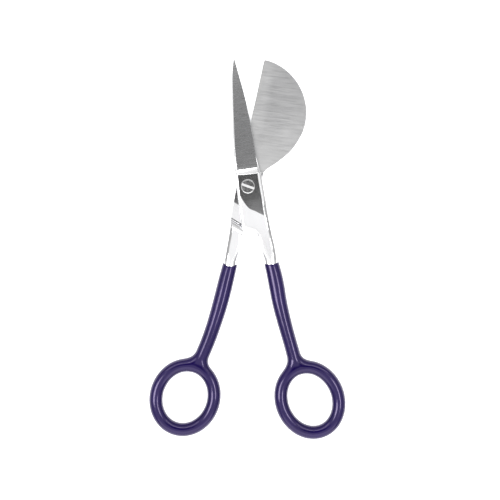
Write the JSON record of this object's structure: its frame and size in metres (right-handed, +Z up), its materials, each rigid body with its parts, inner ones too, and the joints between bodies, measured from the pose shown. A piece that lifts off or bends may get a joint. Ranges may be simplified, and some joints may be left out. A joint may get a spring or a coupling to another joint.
{
  "type": "duckbill applique scissors",
  "caption": "Scissors with one pointed blade and one wide flat duckbill blade, hinged on a slotted screw, with vinyl-dipped stems and oval finger bows.",
  "frame": {"origin": "on the pivot axis, on the plane that the scissors lie on, at the flat end of the pivot screw", "axes": "+Y towards the blade tips, +Z up along the pivot axis towards the screw's slotted head, +X towards the duckbill's round side"},
  "size_m": [0.0778, 0.1512, 0.0056],
  "materials": {
    "forged_steel": "ground blades with fine lines, mirror-plated shanks",
    "screw_steel": "polished and plated",
    "purple_vinyl": "glossy dipped coating"
  },
  "bodies": {
    "duckbill_half": {"duckbill_blade": "forged_steel", "left_grip": "purple_vinyl"},
    "pointed_half": {"pointed_blade": "forged_steel", "right_grip": "purple_vinyl"},
    "screw": {"pivot_screw": "screw_steel"}
  },
  "joints": [
    {"name": "blade_pivot", "type": "hinge", "parent": "duckbill_half", "child": "pointed_half", "pos_m": [0, 0, 0], "axis": [0, 0, 1], "range_deg": [-14.3, 95]},
    {"name": "tension_screw", "type": "hinge", "parent": "duckbill_half", "child": "screw", "pos_m": [0, 0, 0], "axis": [0, 0, 1], "range_deg": [-90, 90]}
  ]
}
